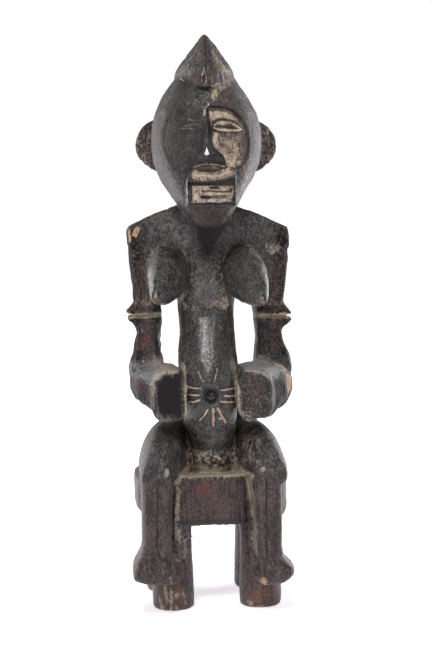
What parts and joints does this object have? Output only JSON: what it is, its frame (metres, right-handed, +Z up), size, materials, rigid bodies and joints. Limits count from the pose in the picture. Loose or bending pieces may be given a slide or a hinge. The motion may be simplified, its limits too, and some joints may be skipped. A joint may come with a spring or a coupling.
{
  "type": "senufo seated female figure",
  "caption": "Carved wooden woman seated upright on a low stool, hands held beside the belly, with a keel-shaped crest, for standing on a shelf or floor.",
  "frame": {"origin": "middle of the bounding box at the ground, under the undersides of the stool's legs", "axes": "+Z up, -Y the way the figure faces, +X to the right of someone who looks at the face"},
  "size_m": [0.127, 0.1168, 0.4345],
  "materials": {
    "blackened_wood": "satin, worn and dusty"
  },
  "bodies": {
    "root": {"seated_figure": "blackened_wood"}
  },
  "joints": []
}
